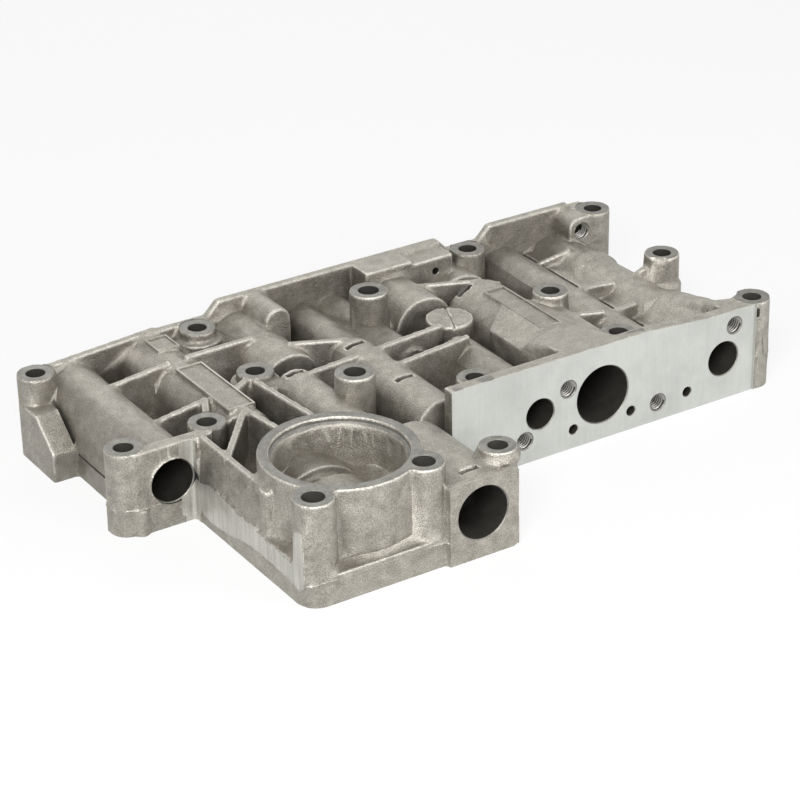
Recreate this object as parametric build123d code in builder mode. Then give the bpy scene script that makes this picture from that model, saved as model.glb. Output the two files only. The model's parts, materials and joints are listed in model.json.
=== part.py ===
from build123d import *

import os
from math import atan2, degrees

# One half of an automatic gearbox's valve body, die-cast in aluminium as one
# piece. X runs along the milled side face, Y into the casting, Z up from the
# mating face. The origin is the near corner bolt's axis on the mating face.

# Heights above the mating face
body_height = 35.2
rear_wall_height = 34.4
end_seat_height = 33.0
mid_seat_height = 31.0
low_seat_height = 29.5
block_height = 28.0
block_shoulder = 22.0
shallow_rib_height = 27.0
end_shelf_height = 19.6
left_end_height = 20.0
left_band_height = 14.0
pocket_floor = 13.0
flange_height = 10.2

# Walls and ribs
wall = 3.2
rib = 2.4
flange_ledge = 8.0
fillet_allowance = 0.05

# Footprint, measured from the corner bolt
flange_overhang = 7.35
left_end = -35.0
left_recess = -26.0
left_recess_front = 79.0
left_recess_rear = 110.0
left_end_wall = 9.4
left_end_slope = 12.0
left_block_front = 62.9
left_block_depth = 4.5
left_end_front = 71.9
rear_left_corner_x, rear_left_corner_y = -24.0, 137.4
right_end = 196.0
rear_face = 141.3
rear_left_step = 1.2
rear_left_start = 17.7
side_face = 33.2
side_face_start = 72.5
side_face_end = 198.5
side_strip = 5.0
side_fall_start, side_fall_end = 152.0, 178.0

# Rear wall: two tall stretches with ramps, and the stepped pad on the first
tall_wall_start, tall_wall_end = 44.8, 136.0
far_wall_start, far_wall_end = 158.8, 194.5
wall_ramp = 5.0
rear_pad_start, rear_pad_depth = 99.0, 13.3
pad_step_start, pad_step_depth, pad_step_drop = 118.4, 8.3, 1.4
pad_hole_x, pad_hole_z, pad_hole, pad_hole_depth = 128.4, 27.8, 2.6, 8.0

# Bolt holes and the bosses round them, as x and y at each seat height
bolt_clearance = 6.6
dowel_clearance = 7.4
boss_wall = 3.1
boss_foot_wall, boss_foot_height = 5.2, 26.0
dowel_seats = [(0.0, 0.0), (40.0, 0.0), (54.6, 64.1), (91.8, 115.0)]
low_seats = [(-28.4, 133.3), (-28.4, 70.0), (2.1, 70.4), (33.3, 133.2), (33.3, 93.2), (147.0, 135.2)]
mid_seats = [(69.2, 2.3), (89.8, 45.4), (149.25, 46.2), (149.25, 86.2), (201.0, 89.5)]
end_seats = [(201.5, 132.6), (201.5, 39.0)]
footed_seats = [low_seats[3], low_seats[4]]
left_seat_x = low_seats[1][0]
column_x, column_y = mid_seats[-1]
column_foot = 7.4
end_shelf_width, end_shelf_front = 22.0, 50.0
# Rim that rises from the column's foot to the near end boss: y and height
end_rim_width = 9.0
end_rim = [(82.0, 22.0), (64.7, 26.7), (58.9, 27.4), (56.1, 28.7), (50.4, 29.2), (44.0, 32.5), (36.0, 32.5)]
far_corner_x, far_corner_y = end_seats[0]
end_corner_y = end_seats[1][1]

# Tapped lug beside the far corner boss
lug_left, lug_front, lug_hole_x, lug_hole_z = 187.5, 127.5, 193.0, 27.5
lug_corner_radius = 4.5

# Round well between the corner bolt and the left block
well_x, well_y = 22.2, 20.9
well_bore = 44.3
well_rim = 3.9
well_step = 1.3
well_step_depth = 1.7
well_floor, well_crest = 18.0, 24.9
well_rib_radius = 3.0
# Humps that cross the well's floor: x, crest height, radius, y of both ends
well_humps = [
    (20.0, well_crest, 18.4, 0.0, 25.0),
    (20.0, 21.5, 15.0, 25.0, 30.5),
    (20.0, well_crest, 18.4, 30.5, 42.0),
]

# Solenoid block in front
block_left, block_right = 43.55, 69.45
block_front = -9.2

# Bores: x and height of the axis, diameter, and y of the blind end
solenoid_x, solenoid_z, solenoid_bore, solenoid_end = 56.0, 15.9, 18.5, 30.0
small_x, small_z, small_bore, small_end = 107.7, 16.9, 11.0, 76.0
main_x, main_z, main_bore, main_end = 133.4, 16.8, 21.0, 92.0
end_x, end_z, end_bore, end_end = 185.1, 15.7, 12.6, 126.0
left_x, left_z, left_bore, left_end_y = -15.2, 16.5, 15.2, 128.0
pilot_reduction = 3.0
mouth_share = 0.45

# Tapped and plain holes: x, z in the milled side face
tapped_hole = 6.0
tapped_depth = 12.0
tapped_holes = [(101.5, 8.5), (119.1, 22.9), (157.0, 6.9), (189.5, 27.3)]
oil_hole = 3.5
oil_depth = 12.0
oil_holes = [(121.4, 7.0), (145.5, 7.0), (169.6, 7.3)]

# Round-backed spine between the left pockets
spine_x, spine_front = 16.2, 71.0

# Cast tubes over the valve bores: x, crest height, radius, y of both ends
valve_tubes = [
    (left_x, 28.0, 10.4, left_block_front, 138.0),
    (spine_x, 28.3, 11.0, spine_front, 139.0),
    (44.5, 29.0, 9.0, 46.0, 88.0),
    (49.5, 28.9, 11.6, 97.0, 139.0),
    (59.0, 34.0, 5.1, 121.5, 139.0),
    (73.0, 29.3, 9.0, 40.0, 96.5),
    (76.5, 25.0, 7.2, 96.5, 139.0),
    (90.5, 24.8, 6.8, 84.0, 139.0),
    (109.5, 30.6, 11.6, 106.0, 130.0),
    (small_x, 25.4, 8.5, side_face, 84.0),
    (main_x, 30.3, 14.5, 80.0, 109.0),
    (136.0, 26.2, 13.0, 122.0, 139.0),
    (163.0, 24.8, 8.5, 52.0, 139.0),
    (186.8, 24.6, 10.8, side_face, 139.0),
    (186.8, 25.7, 11.9, 110.0, 115.5),
]

# Ribs between the pockets: both ends, grouped by the height of their tops
low_ribs = [
    ((20.0, 115.8), (50.0, 116.2)),
    ((33.3, 93.2), (22.0, 86.0)),
    ((48.0, 82.0), (103.0, 87.5)),
    ((72.0, 70.5), (106.0, 75.0)),
    ((54.0, 104.5), (71.0, 96.5)),
    ((113.9, 119.4), (134.2, 110.7)),
    ((134.2, 110.7), (139.3, 105.1)),
    ((2.1, 70.4), (9.4, 84.8)),
    ((-3.9, 22.0), (-3.9, 64.0)),
    ((-3.9, 46.0), (17.0, 72.0)),
    ((17.0, 72.0), (20.0, 46.0)),
    ((30.0, 86.0), (34.0, 44.0)),
]
shallow_ribs = [
    ((147.8, 73.5), (159.0, 69.0)),
    ((149.25, 46.2), (149.25, 86.2)),
]
# Ribs whose tops slope: x, y and height at both ends
sloping_ribs = [
    ((-15.5, 113.8, 27.4), (13.0, 115.4, low_seat_height)),
    ((-11.0, 85.0, 26.4), (9.4, 84.8, low_seat_height)),
    ((165.2, 92.0, 25.2), (181.0, 91.0, 24.4)),
    ((166.0, 70.6, 25.2), (180.0, 72.6, 24.4)),
    ((168.0, 126.2, 20.0), (183.0, 121.0, 25.4)),
    ((184.0, 90.6, 23.0), (column_x - 5.0, column_y + 0.5, 28.0)),
]

# Faceted roof over the main bore, and raised pads on it and on the spine
roof_height = 30.3
roof_flat, roof_base = 10.5, 29.0
roof_eaves = 26.5
roof_rear = 87.0
roof_corner_width, roof_corner_length = 9.6, 7.0
roof_ramp_rear, roof_ramp_width = 60.0, 22.6
pad_height = 0.7
pad_base = 24.0
pad_margin = 0.8
pad_rim, pad_panel_depth = 0.8, 0.5
long_pad_x, long_pad_y, long_pad_width, long_pad_length = 16.8, 91.3, 10.2, 36.4
square_pad_x, square_pad_y, square_pad_width, square_pad_length = 17.6, 129.7, 8.5, 10.2
roof_pad_y, roof_pad_length = 80.8, 35.6

# Slotted round face cast between the tubes
plug_x, plug_y, plug_height, plug_radius = 111.5, 93.7, 27.6, 8.4
plug_slot_width, plug_slot_depth, plug_slot_turn = 1.0, 0.8, -22.0

# Keeper slots cut down into the tubes
keeper_length, keeper_width, keeper_depth = 7.0, 2.2, 9.0
keepers = [(44.3, 85.7), (72.1, 92.4), (72.5, 61.9), (127.7, 107.5), (solenoid_x, -1.0)]

# Oil passages sunk into the mating face: both ends of each straight run
passage_width, passage_depth = 6.0, 4.0
passages = [
    ((-18.0, 84.0), (-18.0, 122.0)),
    ((-18.0, 122.0), (8.0, 130.0)),
    ((-4.0, 80.0), (-4.0, 114.0)),
    ((12.0, 84.0), (12.0, 120.0)),
    ((20.0, 60.0), (36.0, 60.0)),
    ((46.0, 80.0), (46.0, 128.0)),
    ((60.0, 84.0), (60.0, 116.0)),
    ((72.0, 60.0), (72.0, 104.0)),
    ((100.0, 62.0), (136.0, 62.0)),
    ((100.0, 78.0), (130.0, 78.0)),
    ((112.0, 98.0), (112.0, 128.0)),
    ((162.0, 58.0), (162.0, 122.0)),
    ((182.0, 70.0), (182.0, 124.0)),
]


def strip(start, end, width):
    """Draw a straight strip between two points in the sketch at hand."""
    way = Vector(*end) - Vector(*start)
    with Locations(Vector(*start) + way / 2):
        Rectangle(way.length + width, width, rotation=degrees(atan2(way.Y, way.X)))


# Bolt bosses
with BuildPart() as bosses:
    for seats, height, hole in [
        (dowel_seats, body_height, dowel_clearance),
        (low_seats, low_seat_height, bolt_clearance),
        (mid_seats, mid_seat_height, bolt_clearance),
        (end_seats, end_seat_height, bolt_clearance),
    ]:
        with Locations(*seats):
            Cylinder(hole / 2 + boss_wall, height, align=(Align.CENTER, Align.CENTER, Align.MIN))
    with Locations(*footed_seats):
        Cylinder(
            bolt_clearance / 2 + boss_foot_wall,
            boss_foot_height,
            align=(Align.CENTER, Align.CENTER, Align.MIN),
        )

# Cast tubes, each an arch on two straight sides
with BuildPart() as tubes:
    for x, crest, radius, front, rear in valve_tubes:
        with BuildSketch(Plane.XZ.offset(-front)):
            with Locations((x, crest - radius)):
                Circle(radius)
            with Locations((x, 0)):
                Rectangle(2 * radius, crest - radius, align=(Align.CENTER, Align.MIN))
        extrude(amount=front - rear)

# Humps on the well's floor, kept inside its rim
with BuildPart() as well_crossings:
    for x, crest, radius, front, rear in well_humps:
        with BuildSketch(Plane.XZ.offset(-front)):
            with Locations((x, crest - radius)):
                Circle(radius)
        extrude(amount=front - rear)
    with Locations((well_x, well_y, 0)):
        Cylinder(
            well_bore / 2, well_crest, align=(Align.CENTER, Align.CENTER, Align.MIN), mode=Mode.INTERSECT
        )

# Round well: its bore, the slanting ledge and the rim
with BuildPart() as well_space:
    with BuildSketch(Plane.XZ):
        with BuildLine():
            Polyline(
                (0, well_floor),
                (well_bore / 2 - well_step, well_floor),
                (well_bore / 2 - well_step, body_height - well_step_depth - well_step),
                (well_bore / 2, body_height - well_step_depth),
                (well_bore / 2, body_height),
                (0, body_height),
                close=True,
            )
        make_face()
    revolve(axis=Axis.Z)

# Ribs between the pockets
with BuildPart() as ribs:
    for lines, height in [(low_ribs, low_seat_height), (shallow_ribs, shallow_rib_height)]:
        with BuildSketch():
            for start, end in lines:
                strip(start, end, rib)
        extrude(amount=height)
    for start, end in sloping_ribs:
        foot = Vector(start[0], start[1])
        way = Vector(end[0], end[1]) - foot
        with BuildSketch(Plane(origin=foot, x_dir=way, z_dir=way.cross(Vector(0, 0, 1)))):
            with BuildLine():
                Polyline((0, 0), (0, start[2]), (way.length, end[2]), (way.length, 0), close=True)
            make_face()
        extrude(amount=rib / 2, both=True)

# Rear wall, seen from behind, and its slanting stretch at the left
with BuildPart() as rear_wall:
    with BuildSketch(Plane.XZ.offset(-rear_face)):
        with BuildLine():
            Polyline(
                (rear_left_start, 0),
                (rear_left_start, low_seat_height),
                (tall_wall_start - wall_ramp, low_seat_height),
                (tall_wall_start, rear_wall_height),
                (tall_wall_end, rear_wall_height),
                (tall_wall_end + wall_ramp, low_seat_height),
                (far_wall_start - wall_ramp, low_seat_height),
                (far_wall_start, rear_wall_height),
                (far_wall_end, rear_wall_height),
                (far_wall_end, end_seat_height),
                (far_corner_x, end_seat_height),
                (far_corner_x, 0),
                close=True,
            )
        make_face()
    extrude(amount=wall)
    with BuildSketch():
        with BuildLine():
            Polyline(
                (rear_left_start + wall, rear_face + rear_left_step),
                (rear_left_corner_x, rear_left_corner_y),
                (rear_left_corner_x, rear_left_corner_y - wall),
                (rear_left_start + wall, rear_face + rear_left_step - wall),
                close=True,
            )
        make_face()
    extrude(amount=low_seat_height)
    with BuildSketch():
        with Locations((rear_pad_start, rear_face)):
            Rectangle(tall_wall_end - rear_pad_start, rear_pad_depth, align=(Align.MIN, Align.MAX))
    extrude(amount=rear_wall_height)
    with BuildSketch(Plane.XY.offset(rear_wall_height)):
        with Locations((pad_step_start, rear_face - rear_pad_depth)):
            Rectangle(
                tall_wall_end + wall_ramp - pad_step_start, pad_step_depth, align=(Align.MIN, Align.MIN)
            )
    extrude(amount=-pad_step_drop, mode=Mode.SUBTRACT)

# Strip behind the milled side face, and the left block and band
with BuildPart() as side_walls:
    with BuildSketch(Plane.XZ.offset(-side_face)):
        with BuildLine():
            Polyline(
                (side_face_start, 0),
                (side_face_start, body_height),
                (side_fall_start, body_height),
                (side_fall_end, end_seat_height),
                (side_face_end, end_seat_height),
                (side_face_end, 0),
                close=True,
            )
        make_face()
    extrude(amount=-side_strip)
    with BuildSketch():
        with Locations((left_seat_x, left_block_front)):
            Rectangle(left_x - left_seat_x + left_bore, left_block_depth, align=(Align.MIN, Align.MIN))
    extrude(amount=low_seat_height)
    with BuildSketch():
        with Locations((-flange_overhang, 0)):
            Rectangle(2 * wall, left_block_front, align=(Align.MIN, Align.MIN))
    extrude(amount=left_band_height)
    with BuildSketch(Plane.YZ.offset(left_end)):
        with BuildLine():
            Polyline(
                (left_recess_rear, 0),
                (left_recess_rear, flange_height),
                (left_recess_rear + left_end_slope, left_end_height),
                (rear_left_corner_y - wall, left_end_height),
                (rear_left_corner_y - wall, 0),
                close=True,
            )
        make_face()
    extrude(amount=left_end_wall)

# Faceted roof over the main bore, and the raised pads
with BuildPart() as roofs:
    with BuildSketch(Plane.XZ.offset(-side_face)):
        with BuildLine():
            Polyline(
                (main_x - roof_base / 2, 0),
                (main_x - roof_base / 2, roof_eaves),
                (main_x - roof_flat / 2, roof_height),
                (main_x + roof_flat / 2, roof_height),
                (main_x + roof_base / 2, roof_eaves),
                (main_x + roof_base / 2, 0),
                close=True,
            )
        make_face()
    extrude(amount=side_face - roof_rear)
    with BuildSketch():
        with BuildLine():
            Polyline(
                (main_x - roof_base / 2, roof_rear - roof_corner_length),
                (main_x - roof_base / 2, roof_rear),
                (main_x - roof_base / 2 + roof_corner_width, roof_rear),
                close=True,
            )
        make_face()
    extrude(amount=body_height, mode=Mode.SUBTRACT)
    with BuildSketch(Plane.YZ.offset(main_x - roof_base / 2)):
        with BuildLine():
            Polyline(
                (side_face, pocket_floor),
                (side_face, body_height),
                (side_face + side_strip, body_height),
                (roof_ramp_rear, roof_height),
                (roof_ramp_rear, pocket_floor),
                close=True,
            )
        make_face()
    extrude(amount=roof_ramp_width)
    with BuildSketch(Plane.XY.offset(pad_base)):
        with Locations((long_pad_x, long_pad_y)):
            Rectangle(long_pad_width, long_pad_length)
        with Locations((square_pad_x, square_pad_y)):
            Rectangle(square_pad_width, square_pad_length)
    extrude(amount=low_seat_height - pad_base)
    with BuildSketch(Plane.XY.offset(roof_height - pad_height)):
        with Locations((main_x, roof_pad_y)):
            Rectangle(roof_flat - 2 * pad_margin, roof_pad_length)
    extrude(amount=2 * pad_height)

# Sunken panels of the raised pads
with BuildPart() as panels:
    for x, y, width, length, top in [
        (long_pad_x, long_pad_y, long_pad_width, long_pad_length, low_seat_height),
        (square_pad_x, square_pad_y, square_pad_width, square_pad_length, low_seat_height),
        (main_x, roof_pad_y, roof_flat - 2 * pad_margin, roof_pad_length, roof_height + pad_height),
    ]:
        with BuildSketch(Plane.XY.offset(top)):
            with Locations((x, y)):
                Rectangle(width - 2 * pad_rim, length - 2 * pad_rim)
        extrude(amount=-pad_panel_depth)

# Bores: the wide ones narrow behind their mouth
with BuildPart() as bores:
    for x, z, bore, front, rear in [
        (left_x, left_z, left_bore, left_block_front, left_end_y),
        (solenoid_x, solenoid_z, solenoid_bore, block_front, solenoid_end),
        (main_x, main_z, main_bore, side_face, main_end),
    ]:
        mouth = Plane((x, front, z), x_dir=(1, 0, 0), z_dir=(0, 1, 0))
        with BuildSketch(mouth):
            Circle(bore / 2)
        extrude(amount=(rear - front) * mouth_share)
        with BuildSketch(mouth):
            Circle((bore - pilot_reduction) / 2)
        extrude(amount=rear - front)
    for x, z, bore, rear in [
        (small_x, small_z, small_bore, small_end),
        (end_x, end_z, end_bore, end_end),
    ]:
        with BuildSketch(Plane.XZ.offset(-side_face)):
            with Locations((x, z)):
                Circle(bore / 2)
        extrude(amount=side_face - rear)

# Holes drilled in the milled side face, the tapped lug and the rear pad
with BuildPart() as drilled_holes:
    for places, front, diameter, depth in [
        (tapped_holes, side_face, tapped_hole, tapped_depth),
        (oil_holes, side_face, oil_hole, oil_depth),
        ([(lug_hole_x, lug_hole_z)], lug_front, tapped_hole, far_corner_y - lug_front),
        ([(pad_hole_x, pad_hole_z)], rear_face - rear_pad_depth, pad_hole, pad_hole_depth),
    ]:
        with BuildSketch(Plane.XZ.offset(-front)):
            with Locations(*places):
                Circle(diameter / 2)
        extrude(amount=-depth)

with BuildPart() as valve_body:
    # Mating flange, which reaches the whole footprint
    with BuildSketch() as flange:
        with BuildLine():
            Polyline(
                (-flange_overhang, -flange_overhang),
                (block_left, -flange_overhang),
                (block_left, block_front),
                (block_right, block_front),
                (side_face_start, block_front / 2),
                (side_face_start, side_face),
                (side_face_end, side_face),
                (side_face_end, end_corner_y + wall),
                (right_end, end_corner_y + 4 * wall),
                (right_end, rear_face),
                (rear_left_start, rear_face),
                (rear_left_start, rear_face + rear_left_step),
                (rear_left_corner_x, rear_left_corner_y),
                (left_end, rear_left_corner_y - wall),
                (left_end, left_recess_rear),
                (left_recess, left_recess_rear),
                (left_recess, left_recess_front),
                (left_end, left_end_front),
                (left_seat_x, left_block_front),
                (-flange_overhang, left_block_front),
                close=True,
            )
        make_face()
        corner = flange.vertices().sort_by_distance((-flange_overhang, -flange_overhang))[0]
        fillet(corner, flange_overhang - fillet_allowance)
    extrude(amount=flange_height)
    with BuildSketch() as inner_floor:
        add(flange.sketch)
        offset(amount=-flange_ledge, mode=Mode.REPLACE)
    extrude(amount=pocket_floor)

    # Solenoid block, end shelf, tapped lug and round well
    with BuildSketch():
        with Locations((block_left, block_front)):
            Rectangle(block_right - block_left, wall, align=(Align.MIN, Align.MIN))
    extrude(amount=block_height)
    with BuildSketch(Plane.XZ.offset(-block_front)):
        with BuildLine():
            Line((block_left, 0), (block_left, block_shoulder))
            Line((block_left, 0), (block_right, 0))
            Line((block_right, 0), (block_right, block_shoulder))
            ThreePointArc(
                (block_left, block_shoulder), (solenoid_x, block_height), (block_right, block_shoulder)
            )
        make_face()
    extrude(amount=block_front - side_face - wall)
    with BuildSketch():
        with Locations((right_end, rear_face)):
            Rectangle(end_shelf_width, rear_face - end_shelf_front, align=(Align.MAX, Align.MAX))
        with Locations((column_x, column_y)):
            Circle(column_foot)
    extrude(amount=end_shelf_height)
    with BuildSketch(Plane.YZ.offset(right_end)):
        with BuildLine():
            Polyline((end_rim[0][0], 0), *end_rim, (end_rim[-1][0], 0), close=True)
        make_face()
    extrude(amount=-end_rim_width)
    with BuildSketch(Plane.XZ.offset(-lug_front)) as lug:
        with Locations((lug_left, 0)):
            Rectangle(far_corner_x - lug_left, end_seat_height, align=(Align.MIN, Align.MIN))
        fillet(lug.vertices().sort_by_distance((lug_left, lug_front, end_seat_height))[0], lug_corner_radius)
    extrude(amount=lug_front - rear_face)
    with BuildSketch():
        with Locations((well_x - well_bore / 2 - well_rim, well_y)):
            Circle(well_rib_radius)
    extrude(amount=low_seat_height)
    with BuildSketch():
        with Locations((well_x, well_y)):
            Circle(well_bore / 2 + well_rim)
    extrude(amount=body_height)

    add(tubes.part)
    add(rear_wall.part)
    add(side_walls.part)
    add(ribs.part)
    add(roofs.part)
    add(bosses.part)
    with Locations((plug_x, plug_y, 0)):
        Cylinder(plug_radius, plug_height, align=(Align.CENTER, Align.CENTER, Align.MIN))
    with Locations((well_x, well_y, 0)):
        add(well_space.part, mode=Mode.SUBTRACT)
    add(well_crossings.part)
    add(bores.part, mode=Mode.SUBTRACT)
    add(drilled_holes.part, mode=Mode.SUBTRACT)
    add(panels.part, mode=Mode.SUBTRACT)

    # Keeper slots, the slot across the round face and the passages below
    with BuildSketch(Plane.XY.offset(low_seat_height)):
        with Locations(*keepers):
            Rectangle(keeper_length, keeper_width)
    extrude(amount=-keeper_depth, mode=Mode.SUBTRACT)
    with BuildSketch(Plane.XY.offset(plug_height)):
        with Locations((plug_x, plug_y)):
            Rectangle(plug_slot_width, 2 * plug_radius, rotation=plug_slot_turn)
    extrude(amount=-plug_slot_depth, mode=Mode.SUBTRACT)
    with BuildSketch():
        for start, end in passages:
            strip(start, end, passage_width)
    extrude(amount=passage_depth, mode=Mode.SUBTRACT)

    # Bolt holes
    with Locations(*dowel_seats):
        Hole(dowel_clearance / 2)
    with Locations(*low_seats, *mid_seats, *end_seats):
        Hole(bolt_clearance / 2)

valve_body.part.label = "valve_body"
os.makedirs("parts", exist_ok=True)
export_step(valve_body.part, "parts/valve_body.step")
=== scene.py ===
import json
import math

import bmesh
import bpy
import numpy as np
from bpy.props import FloatProperty, FloatVectorProperty, IntProperty, PointerProperty
from mathutils import Matrix, Vector, noise
from mathutils.bvhtree import BVHTree

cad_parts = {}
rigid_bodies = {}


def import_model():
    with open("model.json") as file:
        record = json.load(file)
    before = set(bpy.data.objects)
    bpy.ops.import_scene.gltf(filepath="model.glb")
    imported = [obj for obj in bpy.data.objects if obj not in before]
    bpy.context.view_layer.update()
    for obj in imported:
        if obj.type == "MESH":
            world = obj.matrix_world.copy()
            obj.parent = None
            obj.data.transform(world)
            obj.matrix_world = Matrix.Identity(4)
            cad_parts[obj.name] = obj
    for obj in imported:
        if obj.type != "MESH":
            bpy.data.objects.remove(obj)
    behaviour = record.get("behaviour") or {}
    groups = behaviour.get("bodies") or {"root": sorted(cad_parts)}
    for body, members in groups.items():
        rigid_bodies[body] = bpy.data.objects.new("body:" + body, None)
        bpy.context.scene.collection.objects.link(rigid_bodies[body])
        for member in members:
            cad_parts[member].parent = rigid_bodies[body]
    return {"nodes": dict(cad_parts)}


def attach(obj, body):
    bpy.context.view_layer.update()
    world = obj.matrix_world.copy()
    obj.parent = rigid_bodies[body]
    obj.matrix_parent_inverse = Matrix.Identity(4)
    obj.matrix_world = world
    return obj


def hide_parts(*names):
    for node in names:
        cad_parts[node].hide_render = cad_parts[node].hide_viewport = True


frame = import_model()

bl_info = {
    "name": "Valve body casting",
    "version": (1, 0, 0),
    "blender": (4, 5, 0),
    "location": "3D View > Sidebar > Valve body",
    "description": "Dresses a bare valve body: cast skin, milled faces, threads and a studio",
    "category": "Object",
}

NODE = "valve_body"
BODY = "root"
MM = 0.001

# Places of the casting's materials
CAST, MILLED, SEAT, BORED, SCRAPED = 0, 1, 2, 3, 4

# Machined places in millimetres: seats as x, y, hole radius and height
SEATS = [
    (0.0, 0.0, 3.7, 35.2), (40.0, 0.0, 3.7, 35.2), (54.6, 64.1, 3.7, 35.2), (91.8, 115.0, 3.7, 35.2),
    (-28.4, 133.3, 3.3, 29.5), (-28.4, 70.0, 3.3, 29.5), (2.1, 70.4, 3.3, 29.5),
    (33.3, 133.2, 3.3, 29.5), (33.3, 93.2, 3.3, 29.5), (147.0, 135.2, 3.3, 29.5),
    (69.2, 2.3, 3.3, 31.0), (89.8, 45.4, 3.3, 31.0), (149.25, 46.2, 3.3, 31.0),
    (149.25, 86.2, 3.3, 31.0), (201.0, 89.5, 3.3, 31.0),
    (201.5, 132.6, 3.3, 33.0), (201.5, 39.0, 3.3, 33.0),
]
BOSS_WALL = 3.1
SIDE_FACE = 33.2
BLOCK_FACE = 62.9
PLATE_FACE = -9.2
LEFT_FACE = -7.35
# Bores along Y: x, z, y of the mouth, then radius and depth of each stretch
BORES = [
    (-15.2, 16.5, BLOCK_FACE, [(7.6, 29.3), (6.1, 65.1)]),
    (56.0, 15.9, PLATE_FACE, [(9.25, 17.64), (7.75, 39.2)]),
    (133.4, 16.8, SIDE_FACE, [(10.5, 26.46), (9.0, 58.8)]),
    (107.7, 16.9, SIDE_FACE, [(5.5, 42.8)]),
    (185.1, 15.7, SIDE_FACE, [(6.3, 92.8)]),
]
# Top of the milled side face as x and z, and the plate's left, right and top
SIDE_TOP = [(72.5, 35.2), (152.0, 35.2), (178.0, 33.0), (198.5, 33.0)]
PLATE_SIZE = (43.55, 69.45, 28.0)
# Tapped and plain holes along Y: x, z, y of the mouth, depth, and for plain ones the radius
TAPPED = [
    (101.5, 8.5, SIDE_FACE, 12.0), (119.1, 22.9, SIDE_FACE, 12.0), (157.0, 6.9, SIDE_FACE, 12.0),
    (189.5, 27.3, SIDE_FACE, 12.0), (193.0, 27.5, 127.5, 5.1),
]
TAPPED_RADIUS = 3.0
PLAIN = [
    (121.4, 7.0, SIDE_FACE, 12.0, 1.75), (145.5, 7.0, SIDE_FACE, 12.0, 1.75),
    (169.6, 7.3, SIDE_FACE, 12.0, 1.75), (128.4, 27.8, 128.0, 8.0, 1.3),
]
# Round well: axis, rim height, rim radius, wall radius, depth of the straight rim
WELL_X, WELL_Y, WELL_TOP, WELL_RIM, WELL_WALL, WELL_STEP = 22.2, 20.9, 35.2, 22.15, 20.85, 1.7
# Raised pads: low and high corner of each block, and the panel sunk into it
PADS = [
    ((11.7, 73.1, 24.0), (21.9, 109.5, 29.5)),
    ((13.35, 124.6, 24.0), (21.85, 134.8, 29.5)),
    ((128.95, 63.0, 29.0), (137.85, 98.6, 31.0)),
]
PAD_RIM, PAD_PANEL = 0.8, 0.5
# Keeper slots: x, y of the middle
KEEPERS = [(44.3, 85.7), (72.1, 92.4), (72.5, 61.9), (127.7, 107.5), (56.0, -1.0)]
KEEPER_SIZE, KEEPER_TOP, KEEPER_FLOOR = (7.0, 2.2), 29.5, 20.5
# Milled patch on the left face: y and z round its edge
LEFT_PATCH = [
    (62.9, 8.5), (60.8, 5.1), (57.6, 3.8), (52.7, 3.2), (46.0, 3.8), (38.5, 4.8), (31.9, 6.4),
    (23.9, 7.1), (16.1, 7.3), (8.3, 7.0), (3.0, 6.5), (-1.5, 6.0), (-5.6, 9.5), (-6.4, 20.0),
    (-5.6, 26.5), (1.2, 25.5), (2.0, 13.4), (9.4, 13.6), (16.4, 13.8), (21.8, 14.4), (24.1, 15.4),
    (29.7, 14.8), (34.4, 15.0), (39.2, 15.8), (44.8, 16.4), (49.7, 16.9), (55.6, 16.0), (62.9, 14.6),
]
# Low panel on the well's front wall: the wall's radius, then x and z round the panel's edge
WELL_OUTSIDE = 26.05
WELL_PANEL = [(9.0, 12.5), (8.6, 26.5), (12.0, 28.5), (22.0, 25.0), (25.5, 12.5)]
PANEL_SLOPE, PANEL_HEIGHT = 0.3, 0.30
# Slot across the round face: middle, turn, half width, half length, floor and top
FACE_X, FACE_Y, FACE_TURN = 111.5, 93.7, math.radians(-22.0)
FACE_SLOT, FACE_FLOOR, FACE_TOP = (0.5, 8.6), 26.8, 28.6
# Grooves beside the left end block and along the recess below it: low and high corners
LEFT_GROOVES = [
    ((-26.5, 111.5, 9.0), (-25.2, 126.5, 26.0)),
    ((-40.0, 79.5, 7.9), (-25.1, 109.7, 8.8)),
]
# Plate's cut corner as x and z, and the notch between side face and end column as y and z
PLATE_CORNER = [(66.7, -0.6), (69.9, 1.3), (69.9, -0.6)]
END_NOTCH = [(34.2, 32.3), (31.2, 29.6), (34.2, 26.5)]
# Flash lines round the outer walls: height, then low and high corner in plan
FLASH_LINES = [
    (9.5, (-38.0, 58.0), (-14.0, 74.0)),
    (8.5, (-7.0, -9.0), (44.0, -5.0)),
    (12.6, (198.0, 31.0), (210.0, 50.0)),
]
FLASH_WIDTH, FLASH_HEIGHT, FLASH_CHANGE = 0.45, 0.30, 0.12
# Places where the cast forms run softly into each other, and how they are smoothed
SOFT_PLACES = [
    ((112.0, 38.5, 20.0), (128.5, 61.0, 33.5)),
    ((176.0, 41.0, 20.0), (199.5, 88.0, 33.5)),
]
MELT_PASSES, MELT_SHARE, MELT_FADE = 60, 0.6, 1.5

# The skin: metal left on for milling, passes between fresh normals, and what thinning keeps
STOCK, CLEARANCE = 1.2, 0.3
NORMALS_EVERY = 8
KEPT_BEND, KEPT_SPREAD, SPREAD_FADE, OUTLINE_BAND, FLAT_LEVELS = 700.0, 3, 0.85, 1.6, 4
SHARP_ANGLE = math.radians(38)
TINY, NEAR = 1e-12, 0.02
# Wear: curvature of a rubbed edge in 1/m, and the height from which edges are rubbed
WORN_BEND, WORN_FROM = 1100.0, 2.0
# Rays that tell how open a point lies, and the painted shade on the steep walls behind a given y
RAYS, RAY_SEED, RAY_REACH, RAY_LIFT, LOWEST_RAY, GRAZING = 26, 7, 60.0, 0.25, -0.4, 0.1
BACK_SHADE = (35.0, 60.0)

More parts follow.
